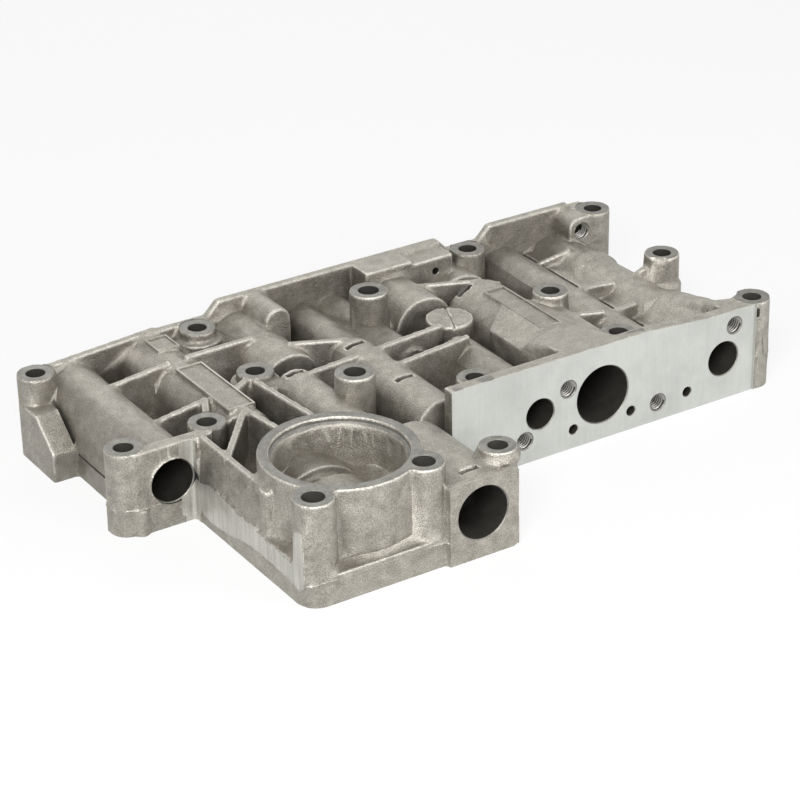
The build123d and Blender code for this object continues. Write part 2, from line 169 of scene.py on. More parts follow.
# Patterns of the metal, in features per metre
GRAIN, MOTTLE, STAINS, SMUDGES, FILM = 2300.0, 240.0, 34.0, 75.0, 220.0
CAST_STREAKS, BORE_RINGS = (1100.0, 1100.0, 26.0), (60.0, 900.0, 60.0)
MILL_MARKS, SCRAPE_MARKS, FINE_MARKS = (900.0, 900.0, 60.0), (1300.0, 1300.0, 45.0), (500.0, 500.0, 500.0)
# Rubbed streaks on the left block: axis, low, high, and the mask's value at each
RUBBED_BAND = [
    (0, -20.5, -16.5, 0.0, 1.0), (2, 19.5, 23.5, 0.0, 1.0), (1, 63.4, 63.8, 1.0, 0.0),
    (1, 62.0, 62.4, 0.0, 1.0), (0, 0.0, 2.0, 1.0, 0.0),
]

# Threads start below the chamfer and end before the hole does, in millimetres
THREAD_START, THREAD_SHORT, LUG_FACE = 0.55, 1.2, 127.5
# Lamps: name, place in metres, size and share of the key's power
LAMPS = [
    ("key", (-0.42, -0.50, 0.54), 0.4, 1.0),
    ("fill", (0.55, -0.75, 0.36), 0.5, 0.55),
    ("rim", (0.30, 0.80, 0.60), 0.5, 0.16),
]
LAMP_TARGET = Vector((0.085, 0.065, 0.015))
EYE = (-0.363158, -0.627188, 0.443242)
FLOOR_SIZE, FLOOR_WHITE = 3.0, 0.82


# Mesh helpers

def linked(name, mesh):
    """Make an object of a mesh and link it to the scene."""
    made = bpy.data.objects.new(name, mesh)
    bpy.context.scene.collection.objects.link(made)
    return made


def mesh_from(bm, name):
    """Write a bmesh to a new mesh and free it."""
    mesh = bpy.data.meshes.new(name)
    bm.to_mesh(mesh)
    bm.free()
    return mesh


def turned(bm, profile, axis_point, along, segments=64, finish=CAST):
    """Add a solid turned about an axis from pairs of radius and distance along it.

    A third value gives the stretch that ends there a finish of its own.
    """
    along = Vector(along).normalized()
    side = along.orthogonal().normalized()
    other = along.cross(side)
    base = Vector(axis_point)
    loops = []
    for radius, distance, *_ in profile:
        loop = []
        for step in range(segments):
            angle = math.tau * step / segments
            offset = (side * math.cos(angle) + other * math.sin(angle)) * radius
            loop.append(bm.verts.new((base + along * distance + offset) * MM))
        loops.append(loop)
    for low, high, place in zip(loops, loops[1:], profile[1:]):
        for step in range(segments):
            after = (step + 1) % segments
            face = bm.faces.new((low[step], low[after], high[after], high[step]))
            face.material_index = place[2] if len(place) > 2 else finish
    for face in (bm.faces.new(list(reversed(loops[0]))), bm.faces.new(loops[-1])):
        face.material_index = finish


def prism(bm, outline, axis, low, high, finish=CAST):
    """Add a prism: its outline in the plane across an axis, and its two ends along it."""
    loops = []
    for level in (low, high):
        loop = []
        for first, second in outline:
            place = [first, second]
            place.insert(axis, level)
            loop.append(bm.verts.new(Vector(place) * MM))
        loops.append(loop)
    start, end = loops
    faces = [bm.faces.new(start), bm.faces.new(list(reversed(end)))]
    for step in range(len(outline)):
        after = (step + 1) % len(outline)
        faces.append(bm.faces.new((start[step], end[step], end[after], start[after])))
    for face in faces:
        face.material_index = finish


def boxed(bm, low, high, finish=CAST):
    """Add a box between two corners in millimetres."""
    outline = [(low[0], low[1]), (high[0], low[1]), (high[0], high[1]), (low[0], high[1])]
    prism(bm, outline, 2, low[2], high[2], finish)


def frozen(thing):
    """Replace an object's mesh by its evaluated one and drop the modifiers."""
    graph = bpy.context.evaluated_depsgraph_get()
    mesh = bpy.data.meshes.new_from_object(thing.evaluated_get(graph))
    thing.modifiers.clear()
    thing.data = mesh


def combine(thing, bm, operation):
    """Cut a bmesh out of an object or add it; its faces keep their finishes."""
    bmesh.ops.recalc_face_normals(bm, faces=bm.faces[:])
    tool_mesh = mesh_from(bm, "tool")
    for material in thing.data.materials:
        tool_mesh.materials.append(material)
    tool = linked("tool", tool_mesh)
    step = thing.modifiers.new("step", "BOOLEAN")
    step.operation = operation
    step.solver = "MANIFOLD"
    step.object = tool
    frozen(thing)
    bpy.data.objects.remove(tool)


def read_points(mesh):
    """Give the vertices' places and normals and the edges' ends as arrays."""
    count = len(mesh.vertices)
    points, normals = np.empty(count * 3, np.float32), np.empty(count * 3, np.float32)
    edges = np.empty(len(mesh.edges) * 2, np.int64)
    mesh.vertices.foreach_get("co", points)
    mesh.vertices.foreach_get("normal", normals)
    mesh.edges.foreach_get("vertices", edges)
    return points.reshape(-1, 3).astype(float), normals.reshape(-1, 3).astype(float), edges.reshape(-1, 2)


def write_points(mesh, points):
    """Write the vertices' places back to a mesh."""
    mesh.vertices.foreach_set("co", points.astype(np.float32).ravel())
    mesh.update()


class Neighbours:
    """Sums and means over the vertices that edges join to each vertex."""

    def __init__(self, edges, count):
        self.first, self.second, self.count = edges[:, 0], edges[:, 1], count
        self.degree = np.maximum(self.edge_sum(np.ones(len(edges))), 1)

    def edge_sum(self, values):
        """Add one value of every edge up at both its ends."""
        return (np.bincount(self.first, values, self.count)
                + np.bincount(self.second, values, self.count))

    def total(self, values):
        """Add up the values of each vertex's neighbours."""
        return (np.bincount(self.first, values[self.second], self.count)
                + np.bincount(self.second, values[self.first], self.count))

    def middle(self, points):
        """Mean place of each vertex's neighbours."""
        sums = np.stack([self.total(points[:, axis]) for axis in range(3)], 1)
        return sums / self.degree[:, None]


def fill_corners(mesh, radius_at, passes):
    """Move inner corners outwards until they curve no tighter than the wanted radius."""
    points, normals, edges = read_points(mesh)
    around = Neighbours(edges, len(points))
    limit = 1.0 / (4.0 * radius_at(points / MM) * MM)
    for turn in range(passes):
        if turn and turn % NORMALS_EVERY == 0:
            write_points(mesh, points)
            normals = read_points(mesh)[1]
        run = ((points[edges[:, 0]] - points[edges[:, 1]]) ** 2).sum(1)
        spacing = around.edge_sum(run) / around.degree
        pull = ((around.middle(points) - points) * normals).sum(1)
        points += normals * np.maximum(pull - spacing * limit, 0.0)[:, None]
    write_points(mesh, points)


def edge_distance(outline, across, up):
    """Distance from points to a closed outline, positive inside it."""
    nearest = np.full(len(across), 1e9)
    inside = np.zeros(len(across), bool)
    for (x1, y1), (x2, y2) in zip(outline, outline[1:] + outline[:1]):
        dx, dy = x2 - x1, y2 - y1
        share = np.clip(((across - x1) * dx + (up - y1) * dy) / (dx * dx + dy * dy), 0, 1)
        nearest = np.minimum(nearest, np.hypot(across - x1 - share * dx, up - y1 - share * dy))
        if dy:
            crossing = ((y1 > up) != (y2 > up)) & (across < dx * (up - y1) / dy + x1)
            inside ^= crossing
    return np.where(inside, nearest, -nearest)


# Node helpers

class Graph:
    """A short way to add and link shader or geometry nodes."""

    def __init__(self, tree):
        self.tree = tree

    def add(self, kind, inputs=None, **settings):
        """Add a node; a given input is either a socket to link or a plain value."""
        node = self.tree.nodes.new(kind)
        for key, value in settings.items():
            setattr(node, key, value)
        for key, value in (inputs or {}).items():
            self.feed(node.inputs[key], value)
        return node

    def feed(self, socket, value):
        if isinstance(value, bpy.types.NodeSocket):
            self.tree.links.new(value, socket)
        elif socket.type == "RGBA":
            socket.default_value = (*value[:3], 1.0)
        else:
            socket.default_value = value

    def math(self, operation, *values):
        node = self.add("ShaderNodeMath", dict(enumerate(values)), operation=operation)
        return node.outputs[0]

    def noise(self, place, scale, detail=3.0, roughness=0.6):
        inputs = {"Vector": place, "Scale": scale, "Detail": detail, "Roughness": roughness}
        return self.add("ShaderNodeTexNoise", inputs).outputs["Fac"]

    def stretched(self, place, scale):
        """Places scaled differently along each axis."""
        return self.add("ShaderNodeMapping", {"Vector": place, "Scale": scale}).outputs["Vector"]

    def steps(self, value, low, high, start=0.0, end=1.0):
        """A clamped straight run from one value to another."""
        inputs = {"Value": value, "From Min": low, "From Max": high, "To Min": start, "To Max": end}
        return self.add("ShaderNodeMapRange", inputs).outputs[0]

    def mixed(self, factor, first, second, blend="MIX"):
        node = self.add("ShaderNodeMix", data_type="RGBA", blend_type=blend)
        for socket, value in ((node.inputs[0], factor), (node.inputs[6], first), (node.inputs[7], second)):
            self.feed(socket, value)
        return node.outputs[2]

    def bump(self, height, strength, distance, normal=None):
        node = self.add("ShaderNodeBump", {"Height": height, "Strength": strength, "Distance": distance})
        if normal:
            self.feed(node.inputs["Normal"], normal)
        return node.outputs["Normal"]

    def surface(self, tone, rough, metallic, normal):
        inputs = {"Base Color": tone, "Roughness": rough, "Metallic": metallic, "Normal": normal}
        skin = self.add("ShaderNodeBsdfPrincipled", inputs)
        out = self.add("ShaderNodeOutputMaterial")
        self.feed(out.inputs["Surface"], skin.outputs["BSDF"])


def fresh_material(name):
    material = bpy.data.materials.new(name)
    material.use_nodes = True
    material.node_tree.nodes.clear()
    return material, Graph(material.node_tree)


def cast_material(finish):
    """As-cast aluminium: fine grain, stain and painted shade in the pockets, burnished edges, rubbed
    streaks.
    """
    material, g = fresh_material("cast_skin")
    place = g.add("ShaderNodeTexCoord").outputs["Object"]
    grain = g.noise(place, GRAIN, 2.0, 0.55)
    mottle = g.noise(place, MOTTLE, 4.0, 0.62)
    stain_and_shade = g.noise(place, STAINS, 5.0, 0.62)
    worn = g.add("ShaderNodeAttribute", attribute_name="worn").outputs["Fac"]
    open_sky = g.add("ShaderNodeAttribute", attribute_name="open_sky").outputs["Fac"]
    tone = g.mixed(g.steps(mottle, 0.3, 0.7), finish.cast_dark, finish.cast_light)
    tone = g.mixed(1.0, tone, g.steps(grain, 0.3, 0.72, 0.68, 1.28), "MULTIPLY")
    # Stain and painted shade: where rays find little open sky, in pockets and corners, the tone is darkened
    # in patches towards a brown colour
    shade = g.steps(open_sky, 0.10, 0.68, 1.0, 0.0)
    patch = g.steps(stain_and_shade, 0.36, 0.62, 0.35, 1.0)
    film_and_shade = g.math("MULTIPLY", shade, patch)
    tone = g.mixed(g.math("MULTIPLY", film_and_shade, 0.9), tone, finish.stain_and_shade)
    rubbed = g.steps(g.noise(g.stretched(place, CAST_STREAKS), 1.0, 2.0, 0.5), 0.56, 0.68)
    along = g.add("ShaderNodeSeparateXYZ", {"Vector": place}).outputs
    for axis, low, high, start, end in RUBBED_BAND:
        rubbed = g.math("MULTIPLY", rubbed, g.steps(along[axis], low * MM, high * MM, start, end))
    edge = g.steps(g.math("MULTIPLY", worn, g.steps(grain, 0.2, 0.7, 0.5, 1.2)), 0.14, 0.6, 0.0, 0.48)
    edge = g.math("MAXIMUM", edge, g.math("MULTIPLY", rubbed, 0.7))
    tone = g.mixed(edge, tone, finish.burnished)
    rough = g.mixed(edge, g.steps(mottle, 0.3, 0.7, 0.42, 0.54), (0.34, 0.34, 0.34))
    normal = g.bump(grain, 0.8, 0.0003)
    normal = g.bump(mottle, 0.35, 0.0005, normal)
    g.surface(tone, rough, 0.8, normal)
    return material


def machined_material(name, colour, marks, contrast, rough):
    """Machined aluminium: faint tool marks, grain and smudges."""
    material, g = fresh_material(name)
    place = g.add("ShaderNodeTexCoord").outputs["Object"]
    smudge = g.noise(place, SMUDGES, 5.0, 0.6)
    grain = g.noise(place, GRAIN, 2.0, 0.5)
    lines = g.noise(g.stretched(place, marks), 1.0, 2.0, 0.5)
    tone = g.mixed(g.steps(smudge, 0.32, 0.62), tuple(c * 0.86 for c in colour), tuple(colour))
    tone = g.mixed(1.0, tone, g.steps(lines, 0.35, 0.65, 1.0 - contrast, 1.0 + contrast), "MULTIPLY")
    depth = 1.2 * contrast
    tone = g.mixed(1.0, tone, g.steps(grain, 0.3, 0.7, 1.0 - depth, 1.0 + depth), "MULTIPLY")
    normal = g.bump(lines, 0.16, 0.0002)
    g.surface(tone, rough, 0.6, normal)
    return material


def bored_material(finish):
    """Inside of the bores and bolt holes: painted shade, near black inside and lighter towards the light."""
    material, g = fresh_material("bore_painted_shade")
    place = g.add("ShaderNodeTexCoord").outputs["Object"]
    open_sky = g.add("ShaderNodeAttribute", attribute_name="open_sky").outputs["Fac"]
    lines = g.noise(g.stretched(place, BORE_RINGS), 1.0, 2.0, 0.5)
    film_and_shade = g.noise(place, FILM, 4.0, 0.6)
    tone = g.mixed(g.steps(film_and_shade, 0.3, 0.7), tuple(c * 0.6 for c in finish.bore_painted_shade), finish.bore_painted_shade)
    # Painted light: the bore lightens towards the seat colour where the hole lies open
    tone = g.mixed(g.steps(open_sky, 0.35, 0.95, 0.0, 0.4), tone, finish.seat)
    normal = g.bump(lines, 0.2, 0.0002)
    g.surface(tone, 0.38, 0.35, normal)
    return material


# The casting

def machined_blank(source):
    """The CAD form with its machined holes filled and its milled faces left proud."""
    bm = source.copy()
    for vert in bm.verts:
        if vert.co.z < 1e-5:
            vert.co.z = -STOCK * MM
    for x, y, hole, height in SEATS:
        turned(bm, [(hole + 0.4, -STOCK), (hole + 0.4, height)], (x, y, 0), (0, 0, 1), 24)
    for x, z, front, stretches in BORES:
        profile = [(stretches[0][0] + CLEARANCE, -STOCK)]
        start = 0.0
        for radius, depth in stretches:
            profile += [(radius + CLEARANCE, start), (radius + CLEARANCE, depth)]
            start = depth
        turned(bm, profile, (x, front, z), (0, 1, 0), 32)
    for x, z, front, depth, radius in [*((*hole, TAPPED_RADIUS) for hole in TAPPED), *PLAIN]:
        wide = radius + CLEARANCE
        turned(bm, [(wide, -0.1), (wide, depth)], (x, front, z), (0, 1, 0), 24)
    side = [*SIDE_TOP, (SIDE_TOP[-1][0], -STOCK), (SIDE_TOP[0][0], -STOCK)]
    prism(bm, side, 1, SIDE_FACE - STOCK, SIDE_FACE + 1.0)
    left, right, top = PLATE_SIZE
    boxed(bm, (left, PLATE_FACE - STOCK, -STOCK), (right, PLATE_FACE + 1.0, top))
    return bm


def add_cast_details(bm):
    """Forms of the cast skin that are too soft or too small for the solid."""
    # Half-round foot beside the left column, below the parting line
    turned(bm, [(2.6, -1.2), (2.6, 9.4)], (-26.4, 64.3, 0), (0, 0, 1), 24)
    # Wall that runs down into the milled band behind the left face
    wedge = [(LEFT_FACE, 12.0), (LEFT_FACE, 16.2), (-6.2, 21.5), (-5.1, 28.5), (-4.0, 12.0)]
    prism(bm, wedge, 1, 23.5, 62.9)
    # Cast corner left standing between the block's face and the left face
    boxed(bm, (-9.4, 60.9, -1.2), (-7.0, 63.4, 28.6))
    # Left flank of the corner boss, which the milling touches
    turned(bm, [(3.2, -1.2), (3.6, 4.5), (4.9, 7.5), (4.7, 20.0), (4.0, 28.0), (2.5, 34.0)],
           (-3.4, -2.3, 0), (0, 0, 1), 40)
    # Collar round the foot of the boss on the solenoid block
    turned(bm, [(7.4, 26.0), (7.4, 28.6)], (69.2, 2.3, 0), (0, 0, 1), 40)


class CastingSettings(bpy.types.PropertyGroup):
    """Sizes of the casting's skin."""

    voxel: FloatProperty(name="Voxel", description="Grid of the cast skin", default=0.0006,
                         min=0.0003, max=0.003, unit="LENGTH", precision=5)
    smoothing: IntProperty(name="Smoothing", description="Passes that round the cast edges",
                           default=5, min=0, max=40)
    fillet: FloatProperty(name="Fillet", default=1.6, min=0.2, max=8.0,
                          description="Radius that inner corners are filled to, in millimetres")
    filling: IntProperty(name="Filling", description="Passes that fill the inner corners",
                         default=64, min=0, max=120)
    triangles: IntProperty(name="Triangles", description="Most triangles of the cast skin",
                           default=145000, min=20000, max=190000)


class FinishSettings(bpy.types.PropertyGroup):
    """Colours of the metal."""

    cast_light: FloatVectorProperty(name="Cast, light", description="Light patches of the cast skin",
                                    subtype="COLOR", size=3, default=(0.43, 0.41, 0.362), min=0, max=1)
    cast_dark: FloatVectorProperty(name="Cast, dark", description="Dark patches of the cast skin",
                                   subtype="COLOR", size=3, default=(0.285, 0.268, 0.23), min=0, max=1)
    # Brown stain colour, which also paints the shade in the pockets
    stain_and_shade: FloatVectorProperty(name="Stain", description="Brown film in the pockets",
                               subtype="COLOR", size=3, default=(0.075, 0.062, 0.047), min=0, max=1)
    burnished: FloatVectorProperty(name="Burnished", description="Rubbed edges",
                                   subtype="COLOR", size=3, default=(0.80, 0.775, 0.71), min=0, max=1)
    milled: FloatVectorProperty(name="Milled", description="Milled side and mating face",
                                subtype="COLOR", size=3, default=(0.55, 0.56, 0.53), min=0, max=1)
    scraped: FloatVectorProperty(name="Scraped", description="Milled patch on the left face",
                                 subtype="COLOR", size=3, default=(0.50, 0.49, 0.44), min=0, max=1)
    seat: FloatVectorProperty(name="Seat", description="Bolt seats and the well's rim",
                              subtype="COLOR", size=3, default=(0.235, 0.228, 0.205), min=0, max=1)
    thread: FloatVectorProperty(name="Thread", description="Threads of the tapped holes",
                                subtype="COLOR", size=3, default=(0.33, 0.32, 0.30), min=0, max=1)
    # Painted shade: near-black colour inside the bores, standing in for the shade in them
    bore_painted_shade: FloatVectorProperty(name="Bored", description="Inside of the bores",
                               subtype="COLOR", size=3, default=(0.048, 0.045, 0.040), min=0, max=1)


class VALVEBODY_OT_casting(bpy.types.Operator):
    """Make the cast and machined body around the fixed frame"""

    bl_idname = "valve_body.casting"
    bl_label = "Casting"

    def execute(self, context):
        sizes, finish = context.scene.valve_body_casting, context.scene.valve_body_finish
        source = bmesh.new()
        source.from_mesh(frame["nodes"][NODE].data)
        bmesh.ops.remove_doubles(source, verts=source.verts[:], dist=1e-6)
        blank = machined_blank(source)
        source.free()
        add_cast_details(blank)
        bmesh.ops.recalc_face_normals(blank, faces=blank.faces[:])
        body = linked("casting", mesh_from(blank, "casting"))
        skin = body.modifiers.new("skin", "REMESH")
        skin.mode = "VOXEL"
        skin.voxel_size = sizes.voxel
        soften = body.modifiers.new("soften", "SMOOTH")
        soften.factor = 0.5
        soften.iterations = sizes.smoothing
        frozen(body)

        def radius_at(places):
            near = np.clip((34.0 - places[:, 1]) / 6.0, 0, 1) * np.clip((places[:, 2] - 6.0) / 2.0, 0, 1)
            return sizes.fillet + 1.9 * near

        fill_corners(body.data, radius_at, sizes.filling)
        for low, high in SOFT_PLACES:
            melt(body.data, low, high)
        shape_skin(body.data)
        count = sum(len(face.vertices) - 2 for face in body.data.polygons)
        spare = body.vertex_groups.new(name="spare")
        levels = flatness(body.data)
        for level in range(1, FLAT_LEVELS + 1):
            spare.add(np.nonzero(levels == level)[0].tolist(), level / FLAT_LEVELS, "REPLACE")
        thin = body.modifiers.new("thin", "DECIMATE")
        thin.ratio = min(1.0, sizes.triangles / count)
        thin.vertex_group = spare.name
        thin.vertex_group_factor = 1.0
        frozen(body)
        raise_parting_line(body.data)
        for material in (
            cast_material(finish),
            machined_material("milled", finish.milled, MILL_MARKS, 0.02, 0.42),
            machined_material("seat", finish.seat, FINE_MARKS, 0.14, 0.5),
            bored_material(finish),
            machined_material("scraped", finish.scraped, SCRAPE_MARKS, 0.12, 0.4),
        ):
            body.data.materials.append(material)
        machine(body)
        mesh = body.data
        mesh.shade_smooth()
        mesh.set_sharp_from_angle(angle=SHARP_ANGLE)
        paint_wear_and_shade(mesh)
        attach(body, BODY)
        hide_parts(NODE)
        return {"FINISHED"}


def convexity(points, normals, edges):
    """How strongly the surface curves outwards at each vertex, in 1/m."""
    run = points[edges[:, 1]] - points[edges[:, 0]]
    turn = normals[edges[:, 1]] - normals[edges[:, 0]]
    around = Neighbours(edges, len(points))
    return around.edge_sum((turn * run).sum(1) / ((run ** 2).sum(1) + TINY)) / around.degree


def flatness(mesh):
    """Levels from 0 at outer edges and the patch's outline to the highest on plain stretches."""
    points, normals, edges = read_points(mesh)
    first, second = edges[:, 0], edges[:, 1]
    bend = np.clip(convexity(points, normals, edges) / KEPT_BEND, 0, 1)
    for _ in range(KEPT_SPREAD):
        spread = bend.copy()
        np.maximum.at(spread, first, bend[second] * SPREAD_FADE)
        np.maximum.at(spread, second, bend[first] * SPREAD_FADE)
        bend = spread
    x, y, z = (points / MM).T
    outline = (x < LEFT_FACE + 1.0) & (np.abs(edge_distance(LEFT_PATCH, y, z)) < OUTLINE_BAND)
    bend = np.where(outline, 1.0, bend)
    return np.round((1.0 - bend) * FLAT_LEVELS).astype(int)


def melt(mesh, low, high):
    """Smooth the skin inside a box, fading towards its sides."""
    points, _, edges = read_points(mesh)
    around = Neighbours(edges, len(points))
    inside = np.ones(len(points))
    for axis in range(3):
        place = points[:, axis] / MM
        inside *= np.clip(np.minimum(place - low[axis], high[axis] - place) / MELT_FADE, 0, 1)
    for _ in range(MELT_PASSES):
        points += (around.middle(points) - points) * (MELT_SHARE * inside)[:, None]
    write_points(mesh, points)


def shape_skin(mesh):
    """Set the rest of the left face back, leave milled tops proud and make the skin uneven."""
    points, normals, _ = read_points(mesh)
    x, y, z = (points / MM).T
    ragged = np.array([noise.noise((0.0, b * 0.55, c * 0.9)) for b, c in zip(y.tolist(), z.tolist())])
    facing = np.clip((-normals[:, 0] - 0.4) / 0.4, 0, 1)
    on_left = facing * ((x < LEFT_FACE + 1.2) & (y < BLOCK_FACE - 1.0))
    depth = edge_distance(LEFT_PATCH, y, z) + ragged * np.where(z > 12.0, 1.3, 0.4)
    offset = np.clip(depth * 0.35, -0.28, 0.28)
    points[:, 0] -= offset * on_left * MM
    # Low panel on the well's front, bounded at its left and top
    from_well = np.hypot(x - WELL_X, y - WELL_Y)
    on_wall = (np.abs(from_well - WELL_OUTSIDE) < 1.5) & (y < WELL_Y) & (normals[:, 2] < 0.5)
    lift = np.clip(edge_distance(WELL_PANEL, x, z) * PANEL_SLOPE, 0.0, PANEL_HEIGHT)
    points -= np.where(on_wall, lift, 0.0)[:, None] * MM * np.stack(
        [(WELL_X - x) / from_well, (WELL_Y - y) / from_well, np.zeros(len(x))], 1)
    waves = np.array([noise.noise(p) for p in (points / MM * 0.16).tolist()])
    points += normals * (waves * 0.07 * MM)[:, None]
    # Tops that the milling touches stand proud of it
    tops = [(x0, y0, hole + BOSS_WALL, height) for x0, y0, hole, height in SEATS]
    for x0, y0, reach, height in [*tops, (WELL_X, WELL_Y, 26.3, WELL_TOP)]:
        near = (np.hypot(x - x0, y - y0) < reach + 0.3) & (np.abs(z - height) < 0.9)
        points[:, 2] += near * np.clip((normals[:, 2] - 0.5) / 0.4, 0, 1) * 0.3 * MM
    write_points(mesh, points)


def raise_parting_line(mesh):
    """Cut fine loops into the outer walls and lift the middle one into a flash line."""
    bm = bmesh.new()
    bm.from_mesh(mesh)
    for level, low, high in FLASH_LINES:
        for offset in (-FLASH_WIDTH, 0.0, FLASH_WIDTH):
            faces = [
                face for face in bm.faces
                if abs(face.calc_center_median().z / MM - level) < 3.0
                and low[0] < face.calc_center_median().x / MM < high[0]
                and low[1] < face.calc_center_median().y / MM < high[1]
            ]
            near = {part for face in faces for part in (*face.verts, *face.edges, face)}
            bmesh.ops.bisect_plane(bm, geom=list(near), dist=1e-7,
                                   plane_co=(0, 0, (level + offset) * MM), plane_no=(0, 0, 1))
        bm.normal_update()
        for vert in bm.verts:
            x, y, z = vert.co / MM
            if abs(z - level) < 1e-3 and low[0] < x < high[0] and low[1] < y < high[1]:
                size = FLASH_HEIGHT + FLASH_CHANGE * noise.noise((x * 0.5, y * 0.5, 0.0))
                vert.co += Vector((vert.normal.x, vert.normal.y, 0.0)) * size * MM
    bm.to_mesh(mesh)
    bm.free()


def drill(bm, place, along, radius, depth, chamfer):
    """Add a drill with a burnished chamfer at its mouth."""
    profile = [
        (radius + chamfer, -3.0), (radius + chamfer, 0.0), (radius, chamfer, SEAT), (radius, depth),
    ]
    turned(bm, profile, place, along, 64, BORED)


def machine(body):
    """Cut the milled faces, seats, bores, holes, slots and panels into the skin."""
    # Pads with crisp sides
    bm = bmesh.new()
    for low, high in PADS:
        boxed(bm, low, high)
    bmesh.ops.bevel(bm, geom=[e for e in bm.edges if max(v.co.z for v in e.verts) > 0.0292],
                    offset=0.00018, segments=2, affect="EDGES")
    combine(body, bm, "UNION")
    bm = bmesh.new()
    for low, high in PADS:
        boxed(bm, (low[0] + PAD_RIM, low[1] + PAD_RIM, high[2] - PAD_PANEL),
              (high[0] - PAD_RIM, high[1] - PAD_RIM, high[2] + 1.0))
    width, length = KEEPER_SIZE
    for x, y in KEEPERS:
        boxed(bm, (x - width / 2, y - length / 2, KEEPER_FLOOR), (x + width / 2, y + length / 2, KEEPER_TOP))
    across = Vector((math.cos(FACE_TURN), math.sin(FACE_TURN))) * FACE_SLOT[0]
    along = Vector((-math.sin(FACE_TURN), math.cos(FACE_TURN))) * FACE_SLOT[1]
    middle = Vector((FACE_X, FACE_Y))
    corners = [middle - across - along, middle + across - along,
               middle + across + along, middle - across + along]
    prism(bm, [tuple(corner) for corner in corners], 2, FACE_FLOOR, FACE_TOP)
    for low, high in LEFT_GROOVES:
        boxed(bm, low, high)
    combine(body, bm, "DIFFERENCE")
    # Mating face, side face, plate and left face
    bm = bmesh.new()
    boxed(bm, (-60, -60, -20), (260, 200, 0), MILLED)
    combine(body, bm, "DIFFERENCE")
    bm = bmesh.new()
    boxed(bm, (71.8, 28.0, -5), (198.5, SIDE_FACE, 45), MILLED)
    combine(body, bm, "DIFFERENCE")
    bm = bmesh.new()
    boxed(bm, (40.0, -15.0, -5), (72.0, PLATE_FACE, 45))
    combine(body, bm, "DIFFERENCE")
    bm = bmesh.new()
    prism(bm, PLATE_CORNER, 1, PLATE_FACE - 0.5, PLATE_FACE + 14.0)
    prism(bm, END_NOTCH, 0, 198.6, 200.2)
    combine(body, bm, "DIFFERENCE")
    bm = bmesh.new()
    arc = [(LEFT_FACE - 1.5 + 1.5 * math.cos(a), BLOCK_FACE - 1.5 + 1.5 * math.sin(a))
           for a in np.radians(np.linspace(0, 90, 7)).tolist()]
    prism(bm, [(-12.5, -12.0), (LEFT_FACE, -12.0), *arc, (-12.5, BLOCK_FACE)], 2, -5.0, 45.0, SCRAPED)
    combine(body, bm, "DIFFERENCE")
    # Seats, the well's rim and its ledge
    bm = bmesh.new()
    for x, y, hole, height in SEATS:
        outer = hole + BOSS_WALL + 0.1
        turned(bm, [(outer, height), (outer, height + 8)], (x, y, 0), (0, 0, 1), 64, SEAT)
    combine(body, bm, "DIFFERENCE")
    bm = bmesh.new()
    boxed(bm, (-40, -20, WELL_TOP), (220, 150, WELL_TOP + 8), SEAT)
    combine(body, bm, "DIFFERENCE")
    bm = bmesh.new()
    ledge = WELL_TOP - WELL_STEP
    foot = WELL_WALL - CLEARANCE
    profile = [(foot, ledge - WELL_RIM + foot), (WELL_RIM, ledge), (WELL_RIM, WELL_TOP + 5)]
    turned(bm, profile, (WELL_X, WELL_Y, 0), (0, 0, 1), 128, SEAT)
    combine(body, bm, "DIFFERENCE")
    # Bolt holes, then the holes along Y
    bm = bmesh.new()
    for x, y, hole, height in SEATS:
        drill(bm, (x, y, height), (0, 0, -1), hole, height + 2, 0.2)
    combine(body, bm, "DIFFERENCE")
    bm = bmesh.new()
    for x, z, front, stretches in BORES:
        (first, depth), *rest = stretches
        profile = [(first + 0.35, -3.0), (first + 0.35, 0.0), (first, 0.35, SEAT), (first, depth)]
        for radius, end in rest:
            profile += [(radius, depth), (radius, end)]
        turned(bm, profile, (x, front, z), (0, 1, 0), 96, BORED)
    for x, z, front, depth in TAPPED:
        drill(bm, (x, front, z), (0, 1, 0), TAPPED_RADIUS, depth, 0.45)
    for x, z, front, depth, radius in PLAIN:
        drill(bm, (x, front, z), (0, 1, 0), radius, depth, 0.25)
    combine(body, bm, "DIFFERENCE")


